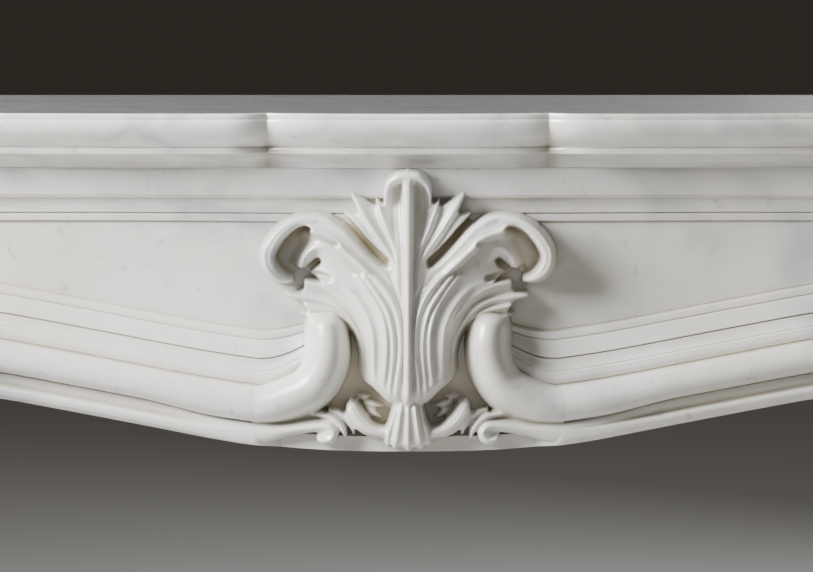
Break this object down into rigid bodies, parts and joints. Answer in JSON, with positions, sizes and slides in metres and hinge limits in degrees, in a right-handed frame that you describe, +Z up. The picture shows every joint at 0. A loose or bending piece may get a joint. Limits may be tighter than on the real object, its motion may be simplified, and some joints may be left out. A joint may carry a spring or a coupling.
{
  "type": "fireplace mantel",
  "caption": "White marble fireplace mantel with a serpentine moulded shelf, a bowed frieze carved with an acanthus keystone, moulded jambs and plain foot blocks.",
  "frame": {"origin": "on the floor under the middle of the mantel's box, half way between the wall face and the front of the shelf", "axes": "+Z up, +X to the right for someone facing the mantel, -Y out into the room, +Y into the wall"},
  "size_m": [1.5, 0.33, 1.1],
  "materials": {
    "marble": "honed white marble with faint grey veins and a soft sheen"
  },
  "bodies": {
    "root": {"shelf": "marble", "frieze": "marble", "jamb_left": "marble", "jamb_right": "marble", "foot_left": "marble", "foot_right": "marble", "return_left": "marble", "return_right": "marble", "reveal_left": "marble", "reveal_right": "marble"}
  },
  "joints": []
}
